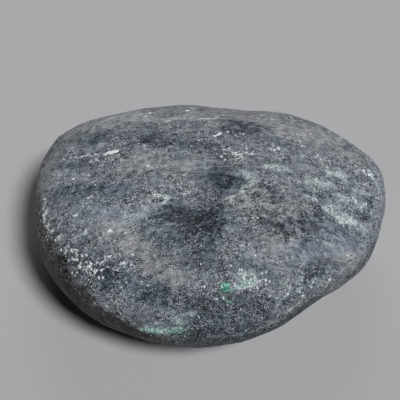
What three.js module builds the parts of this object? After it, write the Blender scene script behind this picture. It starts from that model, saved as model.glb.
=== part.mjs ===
// A water-worn boulder of jadeite, modelled as one closed solid.
// Units are millimetres, +Z is up, and the origin is on the ground under the middle of the boulder.
// +X runs along its length, towards the blunt right end, and -Y is its front.
import * as THREE from "three";
import { mergeVertices } from "three/addons/utils/BufferGeometryUtils.js";

// Overall size of the finished stone
const LENGTH = 190;
const DEPTH = 147;
const HEIGHT = 63;

// How far the widest belt reaches from the middle, straight out to each side
const RIGHT_REACH = 95;
const BACK_REACH = 66;
const LEFT_REACH = 89;
const FRONT_REACH = 80;

// From above, each quarter of the belt is a rounded corner between two of those reaches:
// 2 is a quarter of an ellipse, and more is fuller
const BACK_CORNERS = 2.2;
const FRONT_CORNERS = 2.1;

// Where the belt leaves those quarters: at is in degrees, anticlockwise from the right end,
// and spread is where the change has faded to a third
const BELT_CHANGES = [
  { name: "back left shoulder", at: 150, spread: 20, lift: 11 },
  { name: "worn front right corner", at: 315, spread: 28, lift: -9 },
];

const CROWN = 30; // rise of the upper face above the belt
const BELLY = 32.5; // drop of the underside below the belt, before the resting flat is worn off
const FLAT_WEAR = 1.6; // thickness worn off the underside, which leaves the flat that the stone rests on
const BELT_HEIGHT = BELLY - FLAT_WEAR;

// The belt isn't level: it climbs a little towards the right end and the back
const BELT_SLOPE = { x: 0.015, y: 0.01 };

// A section through the stone is a rounded box: 2 would be an ellipse, and more is flatter and fuller
const CROWN_FULLNESS = 2.7;
const BELLY_FULLNESS = 2.35;

// Subdivisions of each of the 20 first faces, which gives 20 x (FINENESS + 1) squared triangles
const FINENESS = 19;

// Swells and hollows, each a soft stroke between two points of the surface:
// lift is positive for a swell and negative for a hollow, and width is where it has faded to a third
const RELIEF = [
  { name: "middle hollow", from: [8, 6, 61], to: [-6, -26, 60], width: 13, lift: -2.6 },
  { name: "mouth of the hollow", from: [-8, -24, 60], to: [-30, -34, 58], width: 16, lift: -1.7 },
  { name: "pitted plateau", from: [26, -4, 62], to: [42, -16, 58], width: 19, lift: 2.4 },
  { name: "left edge of the plateau", from: [15, 2, 62], to: [9, -28, 60], width: 6, lift: 0.9 },
  { name: "knob below the plateau", from: [35, -36, 55], to: [36, -37, 55], width: 9, lift: 1 },
  { name: "front right ridge", from: [52, -26, 53], to: [64, -38, 42], width: 8, lift: 1.4 },
  { name: "front right scoop", from: [54, -41, 46], to: [45, -50, 42], width: 9, lift: -2.2 },
  { name: "front right notch", from: [48, -50, 36], to: [54, -47, 22], width: 13, lift: -1.9 },
  { name: "corner of the right end", from: [93, 18, 40], to: [93, 13, 30], width: 13, lift: 2.7 },
  { name: "hollow below that corner", from: [88, -14, 34], to: [86, -18, 30], width: 12, lift: -1.8 },
  { name: "groove inside the right rim", from: [80, 4, 50], to: [80, -20, 43], width: 6, lift: -0.9 },
  { name: "upper right ledge", from: [30, 22, 61], to: [72, 8, 54], width: 6, lift: 0.7 },
  { name: "back crest", from: [-32, 61, 54], to: [-8, 64, 53], width: 14, lift: 1.4 },
  { name: "saddle beside the crest", from: [8, 62, 54], to: [22, 58, 54], width: 13, lift: -1.4 },
  { name: "back ledge", from: [-62, 44, 56], to: [-14, 52, 58], width: 6, lift: 0.8 },
  { name: "upper left ledge", from: [-78, 22, 53], to: [-34, 26, 61], width: 6, lift: 0.7 },
  { name: "upper left furrow", from: [-72, -2, 56], to: [-38, 2, 61], width: 8, lift: -0.9 },
  { name: "slope of the left end", from: [-84, 26, 56], to: [-80, -22, 54], width: 26, lift: -2.2 },
  { name: "left shoulder", from: [-80, 16, 51], to: [-76, -24, 50], width: 10, lift: 1.2 },
  { name: "front left wall", from: [-66, -44, 28], to: [-36, -62, 24], width: 16, lift: -2 },
  { name: "front lip", from: [-2, -72, 36], to: [28, -66, 30], width: 8, lift: 1 },
  { name: "pocket above the lip", from: [-6, -68, 43], to: [2, -67, 44], width: 8, lift: -1 },
  { name: "hollow of the back wall", from: [-52, 58, 28], to: [-22, 68, 26], width: 14, lift: -2 },
  { name: "back slope", from: [30, 46, 58], to: [62, 34, 56], width: 22, lift: -0.8 },
  { name: "back right swell", from: [44, 62, 34], to: [66, 48, 32], width: 14, lift: 1.5 },
  { name: "underside swell", from: [-44, -8, 4], to: [-10, 14, 2], width: 20, lift: 0.8 },
  { name: "underside scoop", from: [34, 34, 5], to: [60, 14, 8], width: 16, lift: -2.2 },
];

// Radius of the belt in the direction of an angle
function beltRadius(angle) {
  const length = Math.cos(angle) > 0 ? RIGHT_REACH : LEFT_REACH;
  const depth = Math.sin(angle) > 0 ? BACK_REACH : FRONT_REACH;
  const corner = Math.sin(angle) > 0 ? BACK_CORNERS : FRONT_CORNERS;
  const along = Math.abs(Math.cos(angle)) / length;
  const across = Math.abs(Math.sin(angle)) / depth;
  let radius = Math.pow(along ** corner + across ** corner, -1 / corner);
  for (const { at, spread, lift } of BELT_CHANGES) {
    const turn = THREE.MathUtils.radToDeg(angle) - at;
    const apart = THREE.MathUtils.euclideanModulo(turn + 180, 360) - 180;
    radius += lift * Math.exp(-((apart / spread) ** 2));
  }
  return radius;
}

// Moves a point of the unit sphere straight out from the middle onto the rounded-box form of the stone
function ontoStone(point) {
  const angle = Math.atan2(point.y, point.x);
  const level = Math.hypot(point.x, point.y);
  const upper = point.z > 0;
  const fullness = upper ? CROWN_FULLNESS : BELLY_FULLNESS;
  const grow = Math.pow(level ** fullness + Math.abs(point.z) ** fullness, -1 / fullness);
  const out = level * grow * beltRadius(angle);
  const up = point.z * grow * (upper ? CROWN : BELLY);
  point.set(out * Math.cos(angle), out * Math.sin(angle), BELT_HEIGHT + up);
  point.z += BELT_SLOPE.x * point.x + BELT_SLOPE.y * point.y;
}

// The way out of the stone at a point, taken from a plain ellipsoid of its size
function outwards(point) {
  const away = new THREE.Vector3(
    point.x / (LENGTH * LENGTH),
    point.y / (DEPTH * DEPTH),
    (point.z - BELT_HEIGHT) / (HEIGHT * HEIGHT),
  );
  return away.normalize();
}

// Pushes a point in or out by every stroke that it lies near
function addRelief(point) {
  const away = outwards(point);
  const nearest = new THREE.Vector3();
  let push = 0;
  for (const { from, to, width, lift } of RELIEF) {
    const stroke = new THREE.Line3(new THREE.Vector3(...from), new THREE.Vector3(...to));
    stroke.closestPointToPoint(point, true, nearest);
    push += lift * Math.exp(-nearest.distanceToSquared(point) / (width * width));
  }
  point.addScaledVector(away, push);
}

// The stone before its underside is worn: a ball of even triangles, pushed into shape point by point
function roundStone() {
  const ball = new THREE.IcosahedronGeometry(1, FINENESS);
  ball.deleteAttribute("normal");
  ball.deleteAttribute("uv");
  const geometry = mergeVertices(ball, 1e-5);
  const position = geometry.attributes.position;
  const point = new THREE.Vector3();
  for (let i = 0; i < position.count; i++) {
    point.fromBufferAttribute(position, i).normalize();
    ontoStone(point);
    addRelief(point);
    position.setXYZ(i, point.x, point.y, point.z);
  }
  return geometry;
}

// Wears the lowest part of the underside level, which gives the stone its resting flat
function wearFlat(geometry) {
  geometry.computeBoundingBox();
  const flat = geometry.boundingBox.min.z + FLAT_WEAR;
  const position = geometry.attributes.position;
  for (let i = 0; i < position.count; i++) {
    position.setZ(i, Math.max(position.getZ(i), flat));
  }
  return geometry;
}

// Brings the stone to its overall size, with the origin under the middle of its box
function fitToSize(geometry) {
  geometry.computeBoundingBox();
  const size = geometry.boundingBox.getSize(new THREE.Vector3());
  const centre = geometry.boundingBox.getCenter(new THREE.Vector3());
  geometry.translate(-centre.x, -centre.y, -geometry.boundingBox.min.z);
  geometry.scale(LENGTH / size.x, DEPTH / size.y, HEIGHT / size.z);
  return geometry;
}

const rind = new THREE.MeshStandardMaterial({ color: 0x6b7075, roughness: 0.55, metalness: 0 });
rind.name = "jadeite_rind";

const boulder = new THREE.Mesh(fitToSize(wearFlat(roundStone())), rind);
boulder.name = "boulder";

const part = new THREE.Group();
part.add(boulder);

export default part;
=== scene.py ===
"""A water-worn jadeite boulder on a plain studio floor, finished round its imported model.

The boulder is one solid stone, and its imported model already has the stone's form. This script wears fine
relief into a finer copy of that model, marks where its rind is dark, pale, green or flecked, and colours it.
Places and widths are in millimetres where no unit is named.
"""

import math

import bpy
import numpy as np
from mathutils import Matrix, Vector, noise


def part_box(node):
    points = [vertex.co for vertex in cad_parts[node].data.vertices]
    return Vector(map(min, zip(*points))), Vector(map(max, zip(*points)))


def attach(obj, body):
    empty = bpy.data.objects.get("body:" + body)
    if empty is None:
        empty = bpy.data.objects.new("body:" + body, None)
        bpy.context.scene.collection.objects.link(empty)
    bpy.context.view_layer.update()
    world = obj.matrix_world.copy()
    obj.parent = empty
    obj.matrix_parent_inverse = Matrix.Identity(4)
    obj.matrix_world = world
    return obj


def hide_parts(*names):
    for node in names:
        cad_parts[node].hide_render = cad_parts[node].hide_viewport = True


bl_info = {
    "name": "Jadeite Boulder",
    "version": (1, 0, 0),
    "blender": (4, 5, 0),
    "location": "3D View > Sidebar > Boulder",
    "description": "Finishes the surface of a water-worn jadeite boulder and sets its stage",
    "category": "Object",
}

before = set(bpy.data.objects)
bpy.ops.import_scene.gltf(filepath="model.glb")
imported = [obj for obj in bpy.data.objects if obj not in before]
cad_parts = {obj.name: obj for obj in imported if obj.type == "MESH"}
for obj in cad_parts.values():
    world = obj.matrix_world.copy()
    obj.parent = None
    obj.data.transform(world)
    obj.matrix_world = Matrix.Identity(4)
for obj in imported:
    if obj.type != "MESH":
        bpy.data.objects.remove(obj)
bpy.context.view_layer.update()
NODE = "boulder"
MM = 0.001
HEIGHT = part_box(NODE)[1].z / MM

# The rock's layers run as arcs over the upper face, round a centre that lies well in front of the stone,
# and nearly level round its walls.
LAYER_CENTRE = (5, -110)
LAYER_DIP = math.radians(32)

# The stone is refined this many times. Corners of its first triangles this near are one point.
REFINEMENTS = 2
SAME_POINT = 0.001

# Relief fades out this close over the ground, so that the stone keeps its flat foot.
REST_MARGIN = 2.5
# The share of pits outside the places where they crowd together, and the part of their noise that cuts in.
SCATTERED_PITS = 0.25
PIT_THRESHOLDS = (0.52, 0.72)
# How many times each relief's noise is broken up into finer noise.
DENT_BREAKUP, LUMP_BREAKUP, LEDGE_BREAKUP, PIT_BREAKUP = 2, 2, 3, 1
# A modifier sees one unit of a UV map as this many of its texture's.
UV_UNIT = 2.0

# A mark drifts along the layers and so ends in feathers, and its edge is ragged: how long, thick and deep a
# feather is, how wide the rags are, and how far both drift, in parts of the mark's width.
FEATHER = np.array([16, 1.8, 6])
FEATHER_DRIFT = 1.1
RAG = 3.5
RAG_DRIFT = 0.4
# The rags' noise starts from here, so that they are the same each time.
RAG_SEED = 1
# However many marks of a kind overlap, they show no more strongly than this.
FULLEST = 1.2

# The walls begin and are complete at these heights.
WALL_TOP, WALL_FOOT = 0.7 * HEIGHT, 0.32 * HEIGHT

# Hollows are found by comparing the surface with itself smoothed this many times. The rind gets painted shade
# in them and a painted highlight on crests.
CAVITY_ROUNDS, CAVITY_DEPTH = 3, 0.1

# In metres: the floor's width, and how high up the far lights are put, which doesn't change their light.
FLOOR_SIZE = 60.0
LIGHT_HEIGHT = 1.0
FLOOR_ROUGHNESS, FLOOR_GLOSS = 0.9, 0.2

# Where the lights come from, and how wide they seem from the stone, in degrees.
KEY_LIGHT = {"azimuth": -40, "elevation": 55, "spread": 17}
FILL_LIGHT = {"azimuth": 88, "elevation": 30, "spread": 36}

# The camera's film is as wide as a 35 mm one, and the camera shows nothing nearer than this.
FILM_WIDTH = 36
NEAREST_SEEN = 10

# Tones are in steps of 255, and this power turns a display value into light.
STEPS = 255
DARKEST = 18
DISPLAY_GAMMA = 2.2

# The rind's finish: how rough its smoothest and roughest grains are, its gloss, and its bumps.
JADEITE_IOR = 1.66
SMOOTHEST, ROUGHEST = 0.45, 0.68
RIND_GLOSS = 0.35
BUMP_STRENGTH, BUMP_HEIGHT = 0.6, 0.5

# Flecks lie about this far apart where they are thickest, and reach from so little to so much.
FLECK_GAP = 1.5
FLECK_SIZES = (0.3, 0.95)
# Noise makes them ragged: its waves to the millimetre, and how far it moves them. An edge then goes over into
# the rind between these distances, in parts of the gap.
RAG_FINENESS, RAG_SHIFT = 0.9, 1.8
FLECK_EDGE = (0.02, -0.05)

# The share of a dark patch's darkness that comes mostly where the patch is at its strongest.
DEEPEST_SHARE = 0.27

# Where pits crowd together, in the same form as the marks of the upper face.
PITTED = [
    ("plateau", (33, -11), 20, -45, 14, {"pits": 1.0}),
    ("floor of the hollow", (-9, -21), 22, -8, 8, {"pits": 0.5}),
    ("back of the top", (0, 29), 60, 2, 12, {"pits": 0.5}),
]

# The marks of the rind: name, place of the middle, length, turn, width, and how strongly it is of each kind.
# On the upper face and the underside a place is how far right and how far back it lies, and the turn is
# anticlockwise from the right. On the wall a place is its bearing, in degrees anticlockwise from the right
# end, and its height, and the turn is upwards from level.
# The last of these kinds is painted shade low on the walls, with a faint brownish tint.
KINDS = ("dark", "light", "skin", "blue", "pale", "vein", "flecks", "green", "crust", "wall_shade")
TOP_MARKS = [
    # the hollow in the middle
    ("hollow", (-9, -20), 25, -12, 7, {"dark": 1.1, "blue": 1.0, "crust": 0.4}),
    ("foot of the hollow", (-4, -28), 12, -10, 4, {"dark": 0.7, "green": 0.12}),
    ("head of the hollow", (6, 3), 15, -25, 6, {"dark": 0.85, "blue": 1.1}),
    ("neck of the hollow", (5, -9), 12, 70, 4, {"dark": 0.4, "blue": 0.6}),
    ("mouth of the hollow", (-12, -35), 25, -8, 7, {"dark": 0.55, "blue": 0.5}),
    ("under the mouth", (-15, -43), 28, -6, 4, {"skin": 0.4}),
    ("band by the hollow", (-33, -17), 22, 28, 3, {"light": 0.9, "pale": 0.45}),
    ("head of that band", (-26, -8), 8, -20, 1.8, {"pale": 0.55}),
    # along the back
    ("back patch", (17, 41), 14, -15, 6, {"dark": 1.0, "blue": 0.4}),
    ("back field", (-15, 27), 34, -10, 7, {"dark": 0.6}),
    ("back band, right", (25, 30), 30, -18, 5, {"dark": 0.4}),
    ("back band, left", (-46, 32), 30, -5, 4, {"dark": 0.4}),
    ("back left spot", (-60, 35), 10, 55, 4, {"dark": 0.35, "blue": 0.7}),
    ("back rim", (-5, 55), 70, 0, 10, {"skin": 1.0}),
    ("back rim, left", (-58, 50), 38, 12, 7, {"skin": 1.0, "light": 0.8}),
    ("back rim, middle", (-20, 49), 44, 2, 3, {"light": 0.5}),
    ("back right", (45, 41), 38, -18, 10, {"skin": 1.2, "light": 0.45}),
    ("right brow", (68, 29), 16, -40, 7, {"skin": 0.7, "light": 0.3}),
    ("back line", (-10, 47), 27, 8, 1.3, {"pale": 0.8}),
    ("back specks", (12, 19), 9, -28, 2.4, {"flecks": 1.0, "vein": 0.55}),
    ("back specks, right", (19, 20), 4, -15, 1.8, {"flecks": 1.1}),
    ("back specks, front", (7, 13), 2, -45, 1.4, {"flecks": 1.1}),
    ("back dashes", (15, 35), 5, -25, 2, {"flecks": 0.9}),
    ("back dash", (4, 33), 4, 25, 1, {"vein": 0.8}),
    ("back trail", (39, 24), 25, 16, 2.4, {"flecks": 0.35}),
    ("back crust", (31, 25), 30, -13, 8, {"crust": 0.3, "flecks": 0.05}),
    ("back left tint", (-71, 39), 12, -15, 5, {"green": 0.25}),
    # the left end
    # the lightening in the left rim marks is partly painted light: it lifts the rim, which the key light
    # leaves in shade
    ("left rim", (-89, 14), 28, 82, 8, {"light": 0.6, "skin": 0.9}),
    ("inside the left rim", (-76, 11), 24, -12, 5.5, {"light": 1.2}),
    ("below the left rim", (-81, -7), 15, -55, 3, {"light": 0.5}),
    ("left rim specks, top", (-85, -5), 10, -72, 2.6, {"flecks": 1.2, "vein": 0.42}),
    ("left rim specks", (-82, -16), 13, -72, 3.4, {"flecks": 1.3, "vein": 0.42}),
    ("left rim specks, foot", (-74, -26), 12, -60, 3, {"flecks": 0.6}),
    ("over the left streak", (-66, 28), 16, -10, 4, {"light": 0.8}),
    ("left streak", (-69, 17), 20, -19, 2.6, {"dark": 0.45, "blue": 0.5}),
    ("left vein", (-68, 23), 20, -5, 0.9, {"vein": 0.6}),
    ("left vein, bright", (-52, 22), 6, 18, 1.1, {"vein": 1.0}),
    ("small dash", (-59, 18), 1.5, -45, 1, {"vein": 0.9}),
    ("over the furrow", (-54, 10), 44, 0, 3.5, {"light": 0.75, "flecks": 0.1}),
    ("left furrow", (-60, -1), 36, -11, 4.5, {"dark": 0.4, "blue": 0.9}),
    ("left band", (-52, -17), 26, -10, 7, {"light": 1.15, "blue": 0.7}),
    ("left band dash", (-68, -15), 3, 0, 0.8, {"vein": 0.9}),
    ("left band spot", (-60, -26), 6, -60, 1.2, {"pale": 0.7}),
    ("left dash", (-49, -27), 2, 0, 0.9, {"vein": 0.8}),
    ("tongue", (-20, 11), 30, -15, 7, {"light": 0.6, "skin": 0.7}),
    ("tongue, left", (-43, 10), 16, 7, 6, {"skin": 0.4}),
    ("left cheek", (-42, -31), 18, -38, 7, {"light": 0.85, "skin": 1.0}),
    ("left cheek, outer", (-58, -27), 14, -35, 3.5, {"light": 0.65}),
    ("lower cheek", (-23, -51), 17, -35, 6, {"light": 0.35, "skin": 0.9}),
    ("lower left", (-35, -54), 28, -23, 7, {"dark": 0.4, "blue": 0.7}),
    ("front left", (-60, -42), 26, -28, 6, {"dark": 0.65}),
    ("front left specks", (-60, -42), 12, -50, 4.5, {"flecks": 1.0, "vein": 0.34}),
    ("front left specks, outer", (-66, -41), 12, -55, 4, {"flecks": 0.7}),
    ("front left specks, inner", (-51, -43), 7, 12, 3, {"flecks": 0.5, "vein": 0.4}),
    ("front left trail", (-41, -50), 11, -40, 5, {"flecks": 0.5}),
    # the pitted plateau
    ("plateau", (26, -16), 24, -20, 9, {"light": 0.35, "skin": 0.9, "crust": 0.8}),
    ("plateau, right", (40, -13), 12, -55, 5, {"skin": 0.6}),
    ("plateau crust", (34, -8), 14, -30, 3.5, {"dark": 0.5}),
    ("plateau crust, front", (30, -25), 14, -28, 7, {"crust": 0.8}),
    # the dark of this pit is painted shade, the small shadow inside it
    ("plateau pit", (32, -11), 3, -20, 1.5, {"dark": 1.6}),
    ("rim of that pit", (34, -9), 3, 15, 1.1, {"pale": 0.8}),
    # the dark of this crack is painted shade, the small shadow inside it
    ("plateau crack", (34, -29), 6, -60, 1.8, {"dark": 1.6}),
    ("plateau crack, left", (27, -25), 5, -25, 1.2, {"dark": 0.9}),
    ("plateau crease", (18, -20), 11, -15, 0.9, {"dark": 0.5}),
    ("plateau crease, back", (28, -7), 7, -27, 1.2, {"dark": 0.7}),
    ("left of the plateau", (18, -15), 14, -15, 5, {"light": 0.7}),
    ("step of the plateau", (9, -24), 9, -62, 3.4, {"light": 0.9, "blue": 0.4}),
    ("edge of that step", (7, -19), 5, 68, 1, {"pale": 0.6}),
    ("in front of the plateau", (22, -31), 14, 0, 3.5, {"dark": 0.3}),
    ("foot of the plateau", (33, -36), 11, -5, 5, {"light": 0.45, "skin": 1.0, "pale": 0.1}),
    ("foot of the plateau, left", (20, -42), 10, -30, 3.5, {"light": 0.6}),
    ("plateau corner", (18, 2), 9, -35, 2.6, {"pale": 0.8}),
    ("plateau edge", (18, -5), 4, 10, 2.2, {"pale": 0.8}),
    ("plateau edge, foot", (13, -9), 7, 35, 1.1, {"pale": 0.7}),
    ("long streak", (33, 7), 10, -5, 3, {"pale": 0.85}),
    # the right end and its pale streaks
    ("right streak, inner", (55, 0), 10, -5, 3.6, {"pale": 0.8, "green": 0.05}),
    ("right streak, back", (65, 7), 8, -15, 3, {"pale": 0.85}),
    ("right streak, short", (49, -11), 4, -15, 1.4, {"pale": 0.7}),
    ("right streak, wide", (70, -8), 14, -5, 3.4, {"pale": 0.75, "green": 0.05}),
    ("right streak, rim", (77, -1), 10, 0, 2, {"pale": 0.8}),
    ("bright streak", (61, -17), 7, -25, 3.4, {"pale": 1.0, "green": 0.2}),
    ("bright streak, tail", (69, -20), 13, -10, 1.8, {"pale": 0.8}),
    ("right shoulder", (56, 9), 26, -12, 5, {"light": 0.4}),
    ("right of the plateau", (48, -21), 12, 30, 4.5, {"dark": 0.8}),
    ("between the streaks", (52, -8), 16, -5, 2.5, {"dark": 0.5}),
    ("between the streaks, rim", (73, -3), 13, -10, 2, {"dark": 0.4}),
    ("under the streaks", (72, -15), 12, 5, 2, {"dark": 0.6}),
    ("rim groove", (79, -9), 15, 65, 2.6, {"dark": 0.9}),
    ("right rim", (86, 8), 14, -70, 1.6, {"pale": 0.8}),
    ("right rim, front", (81, -10), 11, 68, 1.2, {"pale": 0.6}),
    ("right rim specks", (82, 16), 12, -25, 3.5, {"flecks": 0.6}),
    ("right flank", (58, -28), 20, -5, 7.5, {"dark": 0.45, "blue": 0.9}),
    ("brow of the fold", (47, -36), 20, 12, 5, {"blue": 0.9}),
    ("arc over the knob", (41, -37), 12, 40, 1.5, {"dark": 0.7}),
    ("fine line", (54, -32), 6, -18, 1.1, {"pale": 0.9, "vein": 0.4}),
    ("scoop", (52, -43), 13, 25, 4, {"dark": 1.0}),
    ("scoop line, left", (50, -46), 10, 52, 1.1, {"pale": 0.7}),
    ("scoop line", (54, -45), 8, 50, 1.1, {"pale": 0.75}),
    ("fold", (43, -46), 12, 75, 2.6, {"light": 0.9}),
    ("fold line", (42, -50), 8, 73, 1.2, {"pale": 0.7}),
    ("crease", (40, -53), 14, 50, 2.2, {"dark": 0.7}),
    ("haunch", (65, -35), 10, 10, 6.5, {"light": 0.45, "skin": 1.2}),
    # the front, with its green spots
    ("front", (16, -63), 36, 3, 10, {"dark": 0.8, "crust": 0.4, "flecks": 0.05}),
    ("front, left", (-18, -62), 20, -15, 5, {"dark": 0.4}),
    ("above the green", (-1, -47), 14, -20, 5, {"dark": 0.55}),
    ("right of the green", (22, -48), 16, -25, 4.5, {"dark": 0.45, "blue": 0.5}),
    ("middle specks", (-4, -51), 13, -25, 6, {"flecks": 0.1}),
    ("pale shelf", (16, -55), 9, 22, 1.6, {"pale": 1.3, "green": 0.35}),
    ("pale shelf, back", (15, -51), 9, 15, 1.5, {"pale": 1.0}),
    ("shelf specks", (16, -52), 12, 5, 4, {"flecks": 0.7}),
    ("shelf specks, right", (25, -55), 7, -55, 4, {"flecks": 0.3}),
    ("bright green spot", (6, -57), 2, 20, 1.5, {"green": 1.4, "pale": 0.5}),
    ("bright green spot, tail", (8, -58), 3, -20, 1, {"green": 0.6}),
    ("small green spot", (7, -62), 4, -35, 1.5, {"green": 0.3, "pale": 0.75}),
    ("olive tint", (5, -64), 16, -20, 8, {"green": 0.12}),
    ("mint patch, tail", (-12, -68), 7, 15, 1.8, {"pale": 0.8}),
]
WALL_MARKS = [
    ("mint patch", (253, 37), 18, 14, 4.4, {"pale": 0.85, "green": 0.45, "flecks": 0.4}),
    ("under the mint patch", (249, 35), 14, 0, 2.5, {"light": 0.6}),
    ("front lip", (272, 34), 34, -12, 6.5, {"dark": 0.85}),
    ("front lip line", (275, 34), 20, -6, 1.6, {"pale": 0.8}),
    ("front lip line, tail", (288, 33), 15, 6, 1.4, {"pale": 0.7}),
    ("notch line", (303, 36), 8, 0, 1.6, {"pale": 0.6}),
    ("scoop streak", (321, 38), 5, 50, 1.3, {"pale": 0.8}),
    # the dark along the foot of the left and front walls is painted shade, where the walls turn under, away
    # from the light
    ("left wall", (205, 29), 40, 0, 8, {"dark": 0.8}),
    ("front left wall", (226, 30), 40, -5, 8, {"dark": 1.0}),
    ("foot of the front", (278, 22), 120, 0, 8, {"dark": 1.1}),
    ("front wall, right", (300, 28), 40, 6, 6, {"dark": 0.4}),
    # painted shade low on the left wall and the left of the front wall, where they turn away from the light;
    # it has a faint brownish tint
    ("soil, left", (188, 35), 20, 0, 8, {"wall_shade": 1.5}),
    ("soil, corner", (201, 36), 20, 0, 9, {"wall_shade": 1.8}),
    ("soil, front left", (213, 34), 20, -10, 8, {"wall_shade": 1.5}),
    ("soil, front", (226, 31), 22, -5, 7, {"wall_shade": 1.3}),
    ("soil, tail", (243, 30), 30, 0, 5, {"wall_shade": 0.8}),
    ("soil, low on the left", (200, 25), 50, 0, 13, {"wall_shade": 1.6}),
    ("soil, low on the front left", (226, 21), 36, 0, 11, {"wall_shade": 0.7}),
    ("soil, low on the front", (262, 17), 64, 0, 9, {"wall_shade": 0.45}),
    ("left rim specks, edge", (190, 39), 16, 0, 4, {"flecks": 1.2}),
    ("front left wall specks", (222, 38), 28, 0, 4, {"flecks": 0.35}),
    ("left end specks", (158, 24), 20, 0, 6, {"flecks": 0.4}),
    # the back wall
    ("back streak", (108, 27), 66, 5, 5, {"dark": 0.6}),
    ("back right wall", (46, 22), 45, 0, 6, {"dark": 0.5}),
    ("back band", (129, 36), 36, 0, 4, {"light": 0.6}),
    ("foot of the back wall", (78, 12), 50, 0, 6, {"light": 0.4}),
    ("back right patch", (53, 36), 31, 0, 7, {"skin": 0.7}),
    ("back middle", (90, 32), 40, 0, 8, {"blue": 0.5}),
    ("back pale streak", (75, 35), 30, -3, 1.8, {"pale": 0.8}),
    ("back pale streak, low", (116, 21), 22, 4, 1.6, {"pale": 0.7}),
    ("back vein", (101, 35), 34, 23, 1, {"vein": 0.55}),
    ("back wall specks", (97, 35), 32, 10, 5, {"flecks": 0.45}),
    ("back right specks", (46, 29), 14, 0, 5, {"flecks": 0.5}),
    ("back green spot", (66, 28), 8, -12, 3.5, {"green": 0.42}),
    ("round that green spot", (67, 27), 24, -10, 7, {"green": 0.25}),
    # the right end's wall
    ("right wall", (346, 22), 31, 0, 6, {"dark": 0.7, "blue": 0.4}),
    ("right wall brow", (337, 35), 20, 18, 5, {"dark": 0.8}),
    ("right wall streak", (7, 31), 26, 0, 3, {"dark": 0.4}),
    ("right wall band", (357, 27), 34, 0, 4, {"light": 0.5}),
    ("right wall patch", (7, 38), 18, 0, 6, {"skin": 0.5}),
    ("right wall, low", (354, 24), 30, 0, 8, {"blue": 0.5}),
    ("right wall pale streak", (359, 33), 20, 0, 1.6, {"pale": 0.8}),
    ("right wall pale streak, low", (5, 18), 24, 0, 1.8, {"pale": 0.6}),
    ("right wall vein", (355, 36), 14, 34, 1, {"vein": 0.6}),
    ("right wall specks", (0, 31), 30, 0, 5, {"flecks": 0.35}),
]
BELLY_MARKS = [
    ("left of the belly", (-52, 9), 40, 55, 8, {"dark": 0.4}),
    ("right of the belly", (41, -2), 45, 72, 8, {"dark": 0.35}),
    ("worn foot", (-10, 4), 32, 30, 13, {"light": 0.5, "skin": 0.6}),
    ("front of the belly", (-8, -38), 45, -10, 9, {"skin": 0.7}),
    ("back left of the belly", (-35, 30), 36, 34, 10, {"blue": 0.5}),
    ("belly streak", (-28, -25), 28, -55, 2, {"pale": 0.7}),
    ("belly vein", (23, 30), 28, 17, 1.3, {"vein": 0.9}),
    ("fork of that vein", (27, 37), 16, 65, 1, {"vein": 0.8}),
    ("belly specks, left", (-47, -9), 30, 55, 8, {"flecks": 0.4}),
    ("belly specks, right", (33, -20), 32, 35, 8, {"flecks": 0.35}),
    ("belly green", (-3, -51), 14, -8, 4, {"green": 0.4}),
]
MARKS = {"top": TOP_MARKS, "wall": WALL_MARKS, "belly": BELLY_MARKS}

# A mark follows the surface in steps of about this length, and places are looked for from this far outside.
MARK_STEP = 15
OUTSIDE = 200
# About how far the wall stands from the middle of the stone.
WALL_REACH = 85


def deselect_all():
    if bpy.context.object and bpy.context.object.mode != "OBJECT":
        bpy.ops.object.mode_set(mode="OBJECT")
    bpy.ops.object.select_all(action="DESELECT")


def apply_modifier(piece, kind, **settings):
    modifier = piece.modifiers.new(kind.lower(), kind)
    for name, value in settings.items():
        setattr(modifier, name, value)
    bpy.ops.object.modifier_apply(modifier=modifier.name)


def places(mesh):
    """The mesh's points, in millimetres."""
    flat = np.zeros(len(mesh.vertices) * 3, np.float32)
    mesh.vertices.foreach_get("co", flat)
    return flat.reshape(-1, 3) / MM


def give_attribute(mesh, name, values):
    """Gives the mesh an attribute with a number, or three, for each of its points."""
    kind, field = ("FLOAT", "value") if values.ndim == 1 else ("FLOAT_VECTOR", "vector")
    attribute = mesh.attributes.new(name, kind, "POINT")
    attribute.data.foreach_set(field, values.astype(np.float32).ravel())


def find_spot(stone, face, place):
    """The point of the surface at a place on one of the stone's faces, or None beyond the rim."""
    first, second = (float(part) for part in place)
    if face == "wall":
        inwards = Vector((-math.cos(math.radians(first)), -math.sin(math.radians(first)), 0))
        outside = Vector((0, 0, second)) - OUTSIDE * inwards
    else:
        inwards = Vector((0, 0, -1 if face == "top" else 1))
        outside = Vector((first, second, 0)) - OUTSIDE * inwards
    found, spot, _, _ = stone.ray_cast(outside * MM, inwards)
    return np.array(spot) / MM if found else None


def mark_stops(stone, face, place, length, turn):
    """The points that a mark runs through. Those beyond the rim are left out."""
    run = length * np.array([math.cos(math.radians(turn)), math.sin(math.radians(turn))])
    if face == "wall":
        run[0] = math.degrees(run[0] / WALL_REACH)
    parts = np.linspace(-0.5, 0.5, 2 + int(length / MARK_STEP))
    stops = [find_spot(stone, face, np.array(place) + part * run) for part in parts]
    stops = [stop for stop in stops if stop is not None]
    if len(stops) < 2:
        raise RuntimeError(f"the mark at {place} lies off the {face} of the stone")
    return stops


def nearness(points, stops, width):
    """How near each point is to a line of stops: 1 on it, and a third at its width."""
    nearest = np.full(len(points), np.inf)
    for start, end in zip(stops, stops[1:]):
        run = end - start
        along = np.clip((points - start) @ run / (run @ run), 0, 1)
        off = points - start - along[:, None] * run
        nearest = np.minimum(nearest, (off**2).sum(axis=1))
    return np.exp(-nearest / width**2)


def mark_strengths(stone, points, marks, kinds, drift=0.0):
    """How strongly marks of each kind show at each point. The drift is in parts of a mark's width."""
    strengths = {kind: np.zeros(len(points)) for kind in kinds}
    for face, lines in marks.items():
        for _, place, length, turn, width, parts in lines:
            near = nearness(points + drift * width, mark_stops(stone, face, place, length, turn), width)
            for kind, strength in parts.items():
                strengths[kind] += strength * near
    return {kind: np.clip(strength, 0, FULLEST) for kind, strength in strengths.items()}


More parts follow.
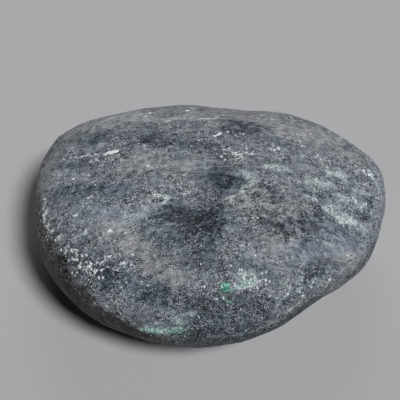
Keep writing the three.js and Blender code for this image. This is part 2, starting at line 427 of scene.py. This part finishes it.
def layer_coordinates(points):
    """Where each point lies in the rock's layers: along their strike, through them, down their dip."""
    east = points[:, 0] - LAYER_CENTRE[0]
    north = points[:, 1] - LAYER_CENTRE[1]
    radius = np.hypot(east, north)
    strike = np.arctan2(east, north) * -LAYER_CENTRE[1]
    through = radius * math.sin(LAYER_DIP) + points[:, 2] * math.cos(LAYER_DIP)
    dip = radius * math.cos(LAYER_DIP) - points[:, 2] * math.sin(LAYER_DIP)
    return np.stack([strike, through, dip], axis=1)


def mark_ledges(mesh, ledge):
    """Gives the mesh a UV map that counts ledges: one unit is a ledge's length one way or its width."""
    ledges = layer_coordinates(places(mesh))[:, :2] / ledge
    corners = np.zeros(len(mesh.loops), np.int32)
    mesh.loops.foreach_get("vertex_index", corners)
    layer = mesh.uv_layers.new(name="ledges")
    layer.data.foreach_set("uv", ledges[corners].astype(np.float32).ravel())


def feathers(points):
    """How far each point drifts, mostly along the strike, so that a mark ends in feathers."""
    noise.seed_set(RAG_SEED)
    uneven = np.array([noise.noise(Vector(place)) for place in layer_coordinates(points) / FEATHER])
    ragged = np.array([noise.noise_vector(Vector(place)) for place in points / RAG])
    toward = points - np.array([*LAYER_CENTRE, 0])
    strike = np.stack([toward[:, 1], -toward[:, 0], np.zeros(len(points))], axis=1)
    strike /= np.linalg.norm(strike, axis=1, keepdims=True)
    return FEATHER_DRIFT * uneven[:, None] * strike + RAG_DRIFT * ragged


def mark_rind(stone):
    """Gives the stone's mesh its layers, and one attribute for each kind of marking and for the walls."""
    points = places(stone.data)
    drift = feathers(points)
    give_attribute(stone.data, "layers", layer_coordinates(points) * MM)
    give_attribute(stone.data, "wall", np.clip((WALL_TOP - points[:, 2]) / (WALL_TOP - WALL_FOOT), 0, 1))
    for kind, strength in mark_strengths(stone, points, MARKS, KINDS, drift).items():
        give_attribute(stone.data, kind, strength)


def mark_cavity_shade(mesh):
    """Marks each point by how hollow the surface is just round it: 1 in a pit, -1 on a crest. The rind's tone
    takes it as painted shade in pits and a painted highlight on crests.
    """
    points = places(mesh)
    edges = np.zeros(len(mesh.edges) * 2, np.int32)
    mesh.edges.foreach_get("vertices", edges)
    first, second = edges.reshape(-1, 2).T
    normals = np.zeros(len(points) * 3, np.float32)
    mesh.vertices.foreach_get("normal", normals)
    count = np.bincount(edges, minlength=len(points))[:, None]
    smooth = points
    for _ in range(CAVITY_ROUNDS):
        total = np.zeros_like(smooth)
        np.add.at(total, first, smooth[second])
        np.add.at(total, second, smooth[first])
        smooth = total / count
    depth = ((smooth - points) * normals.reshape(-1, 3)).sum(axis=1)
    give_attribute(mesh, "cavity_shade", np.clip(depth / CAVITY_DEPTH, -1, 1))


def paint_group(piece, name, weights):
    """A vertex group whose weights are rounded to a hundredth, to be set in a few calls."""
    group = piece.vertex_groups.new(name=name)
    steps = np.round(np.clip(weights, 0, 1) * 100).astype(int)
    for step in np.unique(steps[steps > 0]):
        group.add(np.flatnonzero(steps == step).tolist(), step / 100, "REPLACE")
    return group.name


def relief_texture(name, size, breakup):
    texture = bpy.data.textures.new(name, "CLOUDS")
    texture.noise_scale = size
    texture.noise_depth = breakup
    return texture


def only_peaks(texture, low, high):
    """Keeps only the peaks of a texture: nothing under low, all over high."""
    texture.use_color_ramp = True
    bottom, top = texture.color_ramp.elements
    bottom.position, bottom.color = low, (0, 0, 0, 1)
    top.position, top.color = high, (1, 1, 1, 1)
    return texture


def wear_relief(stone, sizes):
    """Gives the stone its dents, lumps, ledges and pits, with none where it rests."""
    points = places(stone.data)
    loose = np.clip(points[:, 2] / REST_MARGIN, 0, 1)
    crowded = mark_strengths(stone, points, {"top": PITTED}, ["pits"])["pits"]
    worn = paint_group(stone, "worn", loose)
    pitted = paint_group(stone, "pitted", loose * (SCATTERED_PITS + (1 - SCATTERED_PITS) * crowded))
    mark_ledges(stone.data, (sizes.ledge_length / MM, sizes.ledge_width / MM))
    dents = relief_texture("dents", sizes.dent_width, DENT_BREAKUP)
    lumps = relief_texture("lumps", sizes.lump_width, LUMP_BREAKUP)
    ledges = relief_texture("ledges", UV_UNIT, LEDGE_BREAKUP)
    pits = only_peaks(relief_texture("pits", sizes.pit_width, PIT_BREAKUP), *PIT_THRESHOLDS)
    apply_modifier(stone, "DISPLACE", texture=dents, strength=sizes.dent_depth, vertex_group=worn)
    apply_modifier(stone, "DISPLACE", texture=lumps, strength=sizes.lump_depth, vertex_group=worn)
    apply_modifier(stone, "DISPLACE", texture=ledges, texture_coords="UV", uv_layer="ledges",
                   strength=sizes.ledge_depth, vertex_group=worn)
    apply_modifier(stone, "DISPLACE", texture=pits, strength=-sizes.pit_depth, mid_level=0,
                   vertex_group=pitted)


def fit_to_box(stone, box):
    """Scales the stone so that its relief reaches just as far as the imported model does."""
    points = places(stone.data) * MM
    low, high = (np.array(corner) for corner in box)
    reach = points.max(axis=0) - points.min(axis=0)
    points = (points - points.min(axis=0)) * (high - low) / reach + low
    stone.data.vertices.foreach_set("co", points.astype(np.float32).ravel())
    stone.data.update()


class Shader:
    """Adds nodes to a material, each fed by sockets or by plain values."""

    def __init__(self, material):
        material.use_nodes = True
        self.tree = material.node_tree
        self.surface = self.tree.nodes["Principled BSDF"]

    def node(self, kind, inputs=None, **settings):
        node = self.tree.nodes.new(kind)
        for name, value in settings.items():
            setattr(node, name, value)
        for name, value in (inputs or {}).items():
            self.feed(node.inputs[name], value)
        return node

    def feed(self, socket, value):
        if isinstance(value, bpy.types.NodeSocket):
            self.tree.links.new(value, socket)
        else:
            socket.default_value = value

    def math(self, operation, first, second=0.0):
        return self.node("ShaderNodeMath", {0: first, 1: second}, operation=operation).outputs[0]

    def vector(self, operation, first, second):
        return self.node("ShaderNodeVectorMath", {0: first, 1: second}, operation=operation).outputs["Vector"]

    def times(self, first, second):
        return self.math("MULTIPLY", first, second)

    def weigh(self, start, *parts):
        """A start value and the sum of some values, each times its weight."""
        total = start
        for value, weight in parts:
            total = self.math("ADD", total, self.times(value, weight))
        return total

    def size(self, value):
        return self.math("ABSOLUTE", value)

    def ease(self, value, low, high, to_low=0.0, to_high=1.0):
        """A soft step between two bounds."""
        inputs = {"Value": value, "From Min": low, "From Max": high, "To Min": to_low, "To Max": to_high}
        return self.node("ShaderNodeMapRange", inputs, interpolation_type="SMOOTHSTEP").outputs["Result"]

    def attribute(self, name, output="Fac"):
        return self.node("ShaderNodeAttribute", attribute_name=name).outputs[output]

    def stretched(self, vector, wave, along, dip):
        """Counts waves of so many millimetres through the layers, longer by factors along and down them."""
        scale = (1 / (wave * along * MM), 1 / (wave * MM), 1 / (wave * dip * MM))
        return self.node("ShaderNodeMapping", {"Vector": vector, "Scale": scale}).outputs["Vector"]

    def noise(self, vector, wave, detail=2.0, roughness=0.6, distortion=0.0, along=1.0, dip=1.0):
        """Noise round 0 with waves of that many millimetres."""
        inputs = {"Vector": self.stretched(vector, wave, along, dip), "Scale": 1.0, "Detail": detail}
        inputs |= {"Roughness": roughness, "Distortion": distortion}
        return self.math("SUBTRACT", self.node("ShaderNodeTexNoise", inputs).outputs["Fac"], 0.5)

    def crystals(self, vector, size, along):
        """Two random numbers from 0 to 1 for each crystal, which is so many millimetres across."""
        inputs = {"Vector": self.stretched(vector, size, along, 1.0), "Scale": 1.0}
        cells = self.node("ShaderNodeTexVoronoi", inputs).outputs["Color"]
        parts = self.node("ShaderNodeSeparateColor", {"Color": cells})
        return parts.outputs["Red"], parts.outputs["Green"]

    def spots(self, vector, apart, small, large, share, growth):
        """Ragged spots, so many millimetres apart, in a share of their cells, with a number for each cell."""
        inputs = {"Vector": vector, "Scale": RAG_FINENESS / MM, "Detail": 2.0}
        uneven = self.node("ShaderNodeTexNoise", inputs).outputs["Color"]
        inputs = {0: uneven, "Scale": RAG_SHIFT * MM}
        ragged = self.node("ShaderNodeVectorMath", inputs, operation="SCALE").outputs["Vector"]
        place = self.vector("ADD", vector, ragged)
        cells = self.node("ShaderNodeTexVoronoi", {"Vector": place, "Scale": 1 / (apart * MM)})
        parts = self.node("ShaderNodeSeparateColor", {"Color": cells.outputs["Color"]})
        reach = self.times(self.ease(parts.outputs["Green"], 0.0, 1.0, small / apart, large / apart), growth)
        inside = self.ease(self.math("SUBTRACT", cells.outputs["Distance"], reach), *FLECK_EDGE)
        chosen = self.math("LESS_THAN", parts.outputs["Red"], share)
        return self.times(inside, chosen), parts.outputs["Blue"]

    def blend(self, amount, first, second):
        """One vector going over into another: unlike a colour's, its parts may be under 0."""
        return self.mix(amount, first, second, "VECTOR", (0, 4, 5), 1)

    def mix(self, amount, first, second, data_type="RGBA", sockets=(0, 6, 7), output=2):
        """One colour going over into another."""
        node = self.node("ShaderNodeMix", dict(zip(sockets, (amount, first, second))), data_type=data_type)
        return node.outputs[output]


def in_steps(colour):
    """A colour as its tone, in steps, and how far its red, green and blue stand from that tone."""
    red, green, blue = (STEPS * part for part in colour)
    return green, (red - green, 0, blue - green)


def stone_material(colours):
    """The rind: layered and grainy, with markings, cracks, crust, flecks and veins, and painted shade in
    hollows and low on the walls, with painted highlights on crests.
    """
    material = bpy.data.materials.new("jadeite_rind")
    shader = Shader(material)
    place = shader.node("ShaderNodeTexCoord").outputs["Object"]
    layers = shader.attribute("layers", "Vector")
    wall = shader.attribute("wall")
    zones = {name: shader.attribute(name) for name in KINDS}

    # the rind's own unevenness, from broad clouds down to single grains
    cloudy = shader.noise(place, 16, detail=4.0, roughness=0.55)
    broad = shader.noise(layers, 14, roughness=0.8, distortion=0.5, along=3.5, dip=1.5)
    mottle = shader.noise(layers, 4.2, detail=4.0, roughness=0.8, distortion=0.5, along=3.2, dip=1.3)
    streaks = shader.noise(layers, 1.6, detail=3.0, roughness=0.8, distortion=0.3, along=5.0, dip=2.0)
    coarse_grain = shader.noise(layers, 2.1, roughness=1.0, along=1.7)
    fine_grain = shader.noise(place, 0.62, detail=0.0)
    crystal_shade, crystal_kind = shader.crystals(layers, 0.85, along=1.3)

    # every marking's edge wanders with the layers and breaks up into grains
    wander = shader.weigh(1.0, (broad, 0.6), (mottle, 1.6), (streaks, 3.0), (coarse_grain, 1.2))

    def zone(name, low, high):
        return shader.ease(shader.times(zones[name], wander), low, high)

    dark = zone("dark", 0.05, 0.95)
    very_dark = shader.times(dark, dark)
    light = zone("light", 0.05, 0.95)
    skin = zone("skin", 0.05, 0.9)
    blue = zone("blue", 0.05, 0.95)
    pale = zone("pale", 0.12, 0.9)
    green = zone("green", 0.15, 0.8)
    wall_shade = zone("wall_shade", 0.2, 0.9)

    # short dark cracks that lie along the layers, here and there
    crack_line = shader.noise(layers, 3.6, detail=3.0, roughness=0.65, distortion=0.5, along=3.0, dip=1.2)
    cracked = shader.math("MAXIMUM", shader.ease(shader.noise(place, 12), -0.02, 0.12), dark)
    crack = shader.times(shader.ease(shader.size(crack_line), 0.022, 0.006), cracked)

    # threads of paler mineral along the layers
    thread_line = shader.noise(layers, 5.0, detail=3.0, distortion=0.4, along=4.5, dip=1.5)
    threaded = shader.ease(shader.noise(place, 15), -0.02, 0.14)
    thread = shader.times(shader.ease(shader.size(thread_line), 0.02, 0.004), threaded)

    # a crust of small lumps with crevices between them, where it is marked; the rind is painted darker in the
    # crevices and lighter on the lumps, as painted shade and painted highlights that follow the bumps
    crust = shader.ease(zones["crust"], 0.1, 0.9)
    lump = shader.times(shader.noise(place, 2.8, distortion=0.6), crust)
    crevice_line = shader.noise(place, 4.5, distortion=1.0)
    crevice = shader.times(shader.ease(shader.size(crevice_line), 0.05, 0.015), crust)

    # short dark dashes that lie along the layers: they crowd together where the rind is dark
    dash_line = shader.noise(layers, 0.9, roughness=0.7, distortion=0.3, along=4.0, dip=1.6)
    dash_line = shader.weigh(dash_line, (dark, 0.12), (light, -0.06), (skin, -0.05))
    dash = shader.ease(dash_line, 0.06, 0.22)

    # grains stand out in patches, and less where the rind is smooth
    patchy = shader.ease(shader.noise(place, 9, detail=3.0, roughness=0.7), -0.14, 0.16, 0.5, 1.45)
    coarseness = shader.weigh(
        1.06, (skin, -0.58), (very_dark, 0.12), (blue, -0.3), (pale, -0.3), (light, -0.18))
    grain = shader.weigh(
        -15, (crystal_shade, 30), (coarse_grain, 90), (fine_grain, 200),
        (shader.ease(crystal_kind, 0.16, 0.05), -24), (shader.ease(crystal_kind, 0.955, 0.985), 16))
    grain = shader.times(shader.times(grain, coarseness), patchy)

    rind_tone, blue_lean = in_steps(colours.rind)
    warm_lean = in_steps(colours.warm_rind)[1]
    green_lean = in_steps(colours.green_rind)[1]
    blue_tone, blue_tint = in_steps(colours.blue_rind)
    dark_tone, dark_tint = in_steps(colours.dark_rind)
    wall_shade_tone, wall_shade_tint = in_steps(colours.wall_shade)
    pale_tone, pale_tint = in_steps(colours.pale_mineral)
    green_tone, green_tint = in_steps(colours.green_mineral)

    # the rind's tone, in steps: its own unevenness, its lines and grains, painted shade in hollows and
    # crevices with painted highlights on crests and lumps, and then its markings
    tone = shader.weigh(
        rind_tone, (broad, 30), (cloudy, 22), (mottle, 42), (streaks, 40),
        # the hollowness term paints shade into hollows and a highlight onto crests
        (shader.ease(mottle, -0.05, -0.2), -14), (shader.attribute("cavity_shade"), -22), (wall, -12),
        # the crevice term paints shade into the crust's crevices and the lump term a highlight onto its lumps
        (dash, -38), (shader.times(dash, dark), -12), (crack, -40), (thread, 20), (crevice, -48), (lump, 70),
        (light, 20), (skin, 12), (blue, blue_tone - rind_tone),
        (dark, (1 - DEEPEST_SHARE) * (dark_tone - rind_tone)),
        (very_dark, DEEPEST_SHARE * (dark_tone - rind_tone)),
        # the first term below darkens the rind with painted shade low on the walls
        (wall_shade, wall_shade_tone - rind_tone), (green, green_tone - rind_tone), (pale, pale_tone - rind_tone),
        (grain, 1.0))

    # how far red, green and blue stand from that tone
    warmth = shader.weigh(shader.times(skin, 0.8), (wall, 0.7), (shader.noise(place, 9, detail=4.0), 2.0))
    greenish = shader.noise(layers, 7, detail=3.0, along=2.0)
    tint = shader.blend(shader.ease(warmth, -0.3, 0.9), blue_lean, warm_lean)
    tint = shader.blend(shader.ease(greenish, 0.0, 0.3), tint, green_lean)
    tint = shader.blend(shader.times(blue, 0.8), tint, blue_tint)
    tint = shader.blend(shader.times(dark, 0.7), tint, dark_tint)
    tint = shader.blend(shader.times(pale, 0.8), tint, pale_tint)
    # the painted shade low on the walls takes its own faint brownish tint
    tint = shader.blend(wall_shade, tint, wall_shade_tint)
    tint = shader.blend(green, tint, green_tint)
    rind = shader.vector("MAXIMUM", shader.vector("ADD", tone, tint), (DARKEST,) * 3)
    rind = shader.vector("DIVIDE", rind, (STEPS,) * 3)
    rind = shader.node("ShaderNodeGamma", {"Color": rind, "Gamma": DISPLAY_GAMMA}).outputs["Color"]

    # white flecks, crowded where they are marked and rare elsewhere, and veins
    fleck_share = shader.weigh(
        0.008, (dark, -0.008), (zones["flecks"], 0.6), (shader.times(zones["flecks"], mottle), 1.0))
    fleck_growth = shader.weigh(0.85, (zones["flecks"], 0.2))
    fleck, fleck_shade = shader.spots(layers, FLECK_GAP, *FLECK_SIZES, fleck_share, fleck_growth)
    fleck = shader.times(fleck, shader.ease(fleck_shade, 0.0, 1.0, 0.6, 1.1))
    # flecks fade where painted shade lies low on the walls
    fleck = shader.times(fleck, shader.ease(wall_shade, 0.0, 1.0, 1.0, 0.25))
    vein = shader.times(zones["vein"], shader.weigh(1.0, (streaks, 5.0), (coarse_grain, 3.0)))
    white = shader.math("MAXIMUM", fleck, shader.ease(vein, 0.42, 0.56))
    fleck_colour = (*(part**DISPLAY_GAMMA for part in colours.fleck), 1.0)
    colour = shader.mix(white, rind, fleck_colour)

    height = shader.weigh(
        coarse_grain, (fine_grain, 1.0), (streaks, 0.6), (crack, -0.25), (crevice, -1.5), (lump, 4.0))
    bump = {"Height": height, "Strength": BUMP_STRENGTH, "Distance": BUMP_HEIGHT * MM}
    bumpy = shader.node("ShaderNodeBump", bump).outputs["Normal"]
    shader.feed(shader.surface.inputs["Base Color"], colour)
    shader.feed(shader.surface.inputs["Roughness"], shader.ease(fine_grain, -0.2, 0.2, SMOOTHEST, ROUGHEST))
    shader.feed(shader.surface.inputs["Normal"], bumpy)
    shader.feed(shader.surface.inputs["IOR"], JADEITE_IOR)
    shader.feed(shader.surface.inputs["Specular IOR Level"], RIND_GLOSS)
    return material


class BoulderSizes(bpy.types.PropertyGroup):
    dent_width: bpy.props.FloatProperty(
        name="Dent width", description="Width of the soft dents worn all over", default=16 * MM,
        unit="LENGTH")
    dent_depth: bpy.props.FloatProperty(
        name="Dent depth", description="Depth of the soft dents", default=0.9 * MM, unit="LENGTH")
    lump_width: bpy.props.FloatProperty(
        name="Lump width", description="Width of the small lumps", default=5.5 * MM, unit="LENGTH")
    lump_depth: bpy.props.FloatProperty(
        name="Lump depth", description="Depth of the hollows between lumps", default=0.7 * MM, unit="LENGTH")
    ledge_length: bpy.props.FloatProperty(
        name="Ledge length", description="Length of the fine ledges along the layers", default=14 * MM,
        unit="LENGTH")
    ledge_width: bpy.props.FloatProperty(
        name="Ledge width", description="Width of the fine ledges", default=2.6 * MM, unit="LENGTH")
    ledge_depth: bpy.props.FloatProperty(
        name="Ledge depth", description="Depth of the fine ledges", default=0.6 * MM, unit="LENGTH")
    pit_width: bpy.props.FloatProperty(
        name="Pit width", description="Width of the pits", default=2.2 * MM, unit="LENGTH")
    pit_depth: bpy.props.FloatProperty(
        name="Pit depth", description="Depth of the pits", default=0.7 * MM, unit="LENGTH")


class BoulderColours(bpy.types.PropertyGroup):
    rind: bpy.props.FloatVectorProperty(
        name="Rind", description="The plain blue-grey rind", subtype="COLOR_GAMMA",
        default=(0.439, 0.467, 0.502))
    warm_rind: bpy.props.FloatVectorProperty(
        name="Warm rind", description="The rind's hue where it leans to brown", subtype="COLOR_GAMMA",
        default=(0.459, 0.467, 0.482))
    green_rind: bpy.props.FloatVectorProperty(
        name="Green rind", description="The rind's hue where it leans to green", subtype="COLOR_GAMMA",
        default=(0.435, 0.467, 0.478))
    blue_rind: bpy.props.FloatVectorProperty(
        name="Blue rind", description="Bluer patches of the rind", subtype="COLOR_GAMMA",
        default=(0.416, 0.451, 0.51))
    dark_rind: bpy.props.FloatVectorProperty(
        name="Dark rind", description="Dark patches, as on the floor of the hollow", subtype="COLOR_GAMMA",
        default=(0.286, 0.325, 0.369))
    # painted shade low on the left and front walls, with a faint brownish tint
    wall_shade: bpy.props.FloatVectorProperty(
        name="Painted wall shade", description="Painted shade low on the walls, with a faint brownish tint", subtype="COLOR_GAMMA",
        default=(0.286, 0.278, 0.282))
    pale_mineral: bpy.props.FloatVectorProperty(
        name="Pale mineral", description="Pale streaks along the layers", subtype="COLOR_GAMMA",
        default=(0.627, 0.682, 0.69))
    green_mineral: bpy.props.FloatVectorProperty(
        name="Green mineral", description="Spots of green jadeite", subtype="COLOR_GAMMA",
        default=(0.294, 0.561, 0.486))
    fleck: bpy.props.FloatVectorProperty(
        name="Fleck", description="White flecks and veins", subtype="COLOR_GAMMA",
        default=(0.944, 0.958, 0.977))
    floor: bpy.props.FloatVectorProperty(
        name="Floor", description="The studio floor", subtype="COLOR", default=(0.46, 0.462, 0.474))
    backdrop: bpy.props.FloatVectorProperty(
        name="Backdrop", description="What shows beyond the floor", subtype="COLOR",
        default=(0.4, 0.402, 0.411))


class StageSettings(bpy.types.PropertyGroup):
    elevation: bpy.props.FloatProperty(
        name="Elevation", description="How far the camera looks down", default=math.radians(50),
        subtype="ANGLE")
    distance: bpy.props.FloatProperty(
        name="Distance", description="From the camera to its target", default=0.3743, unit="LENGTH")
    target: bpy.props.FloatVectorProperty(
        name="Target", description="The place the camera looks at", default=(-5.3 * MM, 12.9 * MM, 30 * MM),
        subtype="TRANSLATION", unit="LENGTH")
    lens: bpy.props.FloatProperty(
        name="Lens", description="The camera's focal length in millimetres", default=62)
    key_strength: bpy.props.FloatProperty(
        name="Key light", description="Strength of the key light, from the right in front", default=2.85)
    fill_strength: bpy.props.FloatProperty(
        name="Fill light", description="Strength of the broad fill light, from behind", default=0.58)
    daylight: bpy.props.FloatProperty(
        name="Daylight", description="Strength of the faint light from all round", default=0.012)


class BOULDER_OT_stage(bpy.types.Operator):
    """Sets up the camera, the floor and the lights"""

    bl_idname = "boulder.stage"
    bl_label = "Set the stage"

    def execute(self, context):
        settings = context.scene.boulder_stage
        colours = context.scene.boulder_colours
        deselect_all()
        set_camera(settings)
        set_floor(colours)
        set_daylight(settings, colours)
        add_light("key", **KEY_LIGHT, strength=settings.key_strength)
        add_light("fill", **FILL_LIGHT, strength=settings.fill_strength)
        context.scene.view_settings.view_transform = "Standard"
        if context.scene.camera is None:
            raise RuntimeError("the stage has no camera")
        return {"FINISHED"}


def aim(thing, target):
    direction = target - thing.location
    thing.rotation_euler = direction.to_track_quat("-Z", "Y").to_euler()


def set_camera(settings):
    target = Vector(settings.target)
    back = Vector((0, -math.cos(settings.elevation), math.sin(settings.elevation)))
    bpy.ops.object.camera_add(location=target + back * settings.distance)
    camera = bpy.context.object
    camera.name = "camera"
    camera.data.lens = settings.lens
    camera.data.sensor_width = FILM_WIDTH
    camera.data.clip_start = NEAREST_SEEN * MM
    aim(camera, target)
    bpy.context.scene.camera = camera


def set_floor(colours):
    bpy.ops.mesh.primitive_plane_add(size=FLOOR_SIZE, location=(0, 0, 0))
    floor = bpy.context.object
    floor.name = "floor"
    material = bpy.data.materials.new("studio_floor")
    shader = Shader(material)
    shader.feed(shader.surface.inputs["Base Color"], (*colours.floor, 1.0))
    shader.feed(shader.surface.inputs["Roughness"], FLOOR_ROUGHNESS)
    shader.feed(shader.surface.inputs["Specular IOR Level"], FLOOR_GLOSS)
    floor.data.materials.append(material)


def set_daylight(settings, colours):
    """Lights the studio faintly from all round, and shows a pale backdrop beyond the floor."""
    world = bpy.data.worlds.new("studio")
    bpy.context.scene.world = world
    world.use_nodes = True
    tree = world.node_tree
    daylight = tree.nodes["Background"]
    daylight.inputs["Color"].default_value = (1, 1, 1, 1)
    daylight.inputs["Strength"].default_value = settings.daylight
    backdrop = tree.nodes.new("ShaderNodeBackground")
    backdrop.inputs["Color"].default_value = (*colours.backdrop, 1.0)
    seen = tree.nodes.new("ShaderNodeLightPath")
    both = tree.nodes.new("ShaderNodeMixShader")
    tree.links.new(seen.outputs["Is Camera Ray"], both.inputs[0])
    tree.links.new(daylight.outputs[0], both.inputs[1])
    tree.links.new(backdrop.outputs[0], both.inputs[2])
    tree.links.new(both.outputs[0], tree.nodes["World Output"].inputs["Surface"])


def add_light(name, azimuth, elevation, spread, strength):
    """A soft far light from these angles, which seems this wide from the stone. All are in degrees."""
    turn = (0, math.radians(90 - elevation), math.radians(azimuth))
    bpy.ops.object.light_add(type="SUN", location=(0, 0, LIGHT_HEIGHT), rotation=turn)
    light = bpy.context.object
    light.name = name
    light.data.angle = math.radians(spread)
    light.data.energy = strength


class BOULDER_OT_stone(bpy.types.Operator):
    """Finishes the boulder's surface: worn relief, markings and rind"""

    bl_idname = "boulder.stone"
    bl_label = "Finish the boulder"

    def execute(self, context):
        deselect_all()
        stone = bpy.data.objects.new("jadeite_stone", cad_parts[NODE].data.copy())
        context.scene.collection.objects.link(stone)
        context.view_layer.objects.active = stone
        stone.select_set(True)
        join_triangles(stone)
        apply_modifier(stone, "SUBSURF", levels=REFINEMENTS, render_levels=REFINEMENTS)
        bpy.ops.object.shade_smooth()
        wear_relief(stone, context.scene.boulder_sizes)
        fit_to_box(stone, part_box(NODE))
        context.view_layer.update()
        mark_rind(stone)
        mark_cavity_shade(stone.data)
        stone.data.materials.append(stone_material(context.scene.boulder_colours))
        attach(stone, "root")
        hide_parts(NODE)
        return {"FINISHED"}


def join_triangles(stone):
    """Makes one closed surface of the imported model's loose triangles, with no finish of its own."""
    bpy.ops.object.mode_set(mode="EDIT")
    bpy.ops.mesh.select_all(action="SELECT")
    bpy.ops.mesh.remove_doubles(threshold=SAME_POINT * MM)
    bpy.ops.object.mode_set(mode="OBJECT")
    if stone.data.has_custom_normals:
        bpy.ops.mesh.customdata_custom_splitnormals_clear()
    stone.data.materials.clear()
    while stone.data.uv_layers:
        stone.data.uv_layers.remove(stone.data.uv_layers[0])
    loose = [edge for edge in stone.data.edges if edge.is_loose]
    if loose:
        raise RuntimeError("the packed boulder isn't one closed surface")


class BOULDER_PT_panel(bpy.types.Panel):
    bl_label = "Jadeite boulder"
    bl_space_type = "VIEW_3D"
    bl_region_type = "UI"
    bl_category = "Boulder"

    def draw(self, context):
        scene = context.scene
        for group in (scene.boulder_sizes, scene.boulder_colours, scene.boulder_stage):
            for name in group.__annotations__:
                self.layout.prop(group, name)
        self.layout.operator(BOULDER_OT_stage.bl_idname)
        self.layout.operator(BOULDER_OT_stone.bl_idname)


CLASSES = (BoulderSizes, BoulderColours, StageSettings, BOULDER_OT_stage, BOULDER_OT_stone, BOULDER_PT_panel)


def register():
    for cls in CLASSES:
        bpy.utils.register_class(cls)
    bpy.types.Scene.boulder_sizes = bpy.props.PointerProperty(type=BoulderSizes)
    bpy.types.Scene.boulder_colours = bpy.props.PointerProperty(type=BoulderColours)
    bpy.types.Scene.boulder_stage = bpy.props.PointerProperty(type=StageSettings)


def unregister():
    del bpy.types.Scene.boulder_stage
    del bpy.types.Scene.boulder_colours
    del bpy.types.Scene.boulder_sizes
    for cls in reversed(CLASSES):
        bpy.utils.unregister_class(cls)


def main():
    register()
    bpy.ops.boulder.stage()
    bpy.ops.boulder.stone()


if __name__ == "__main__":
    main()
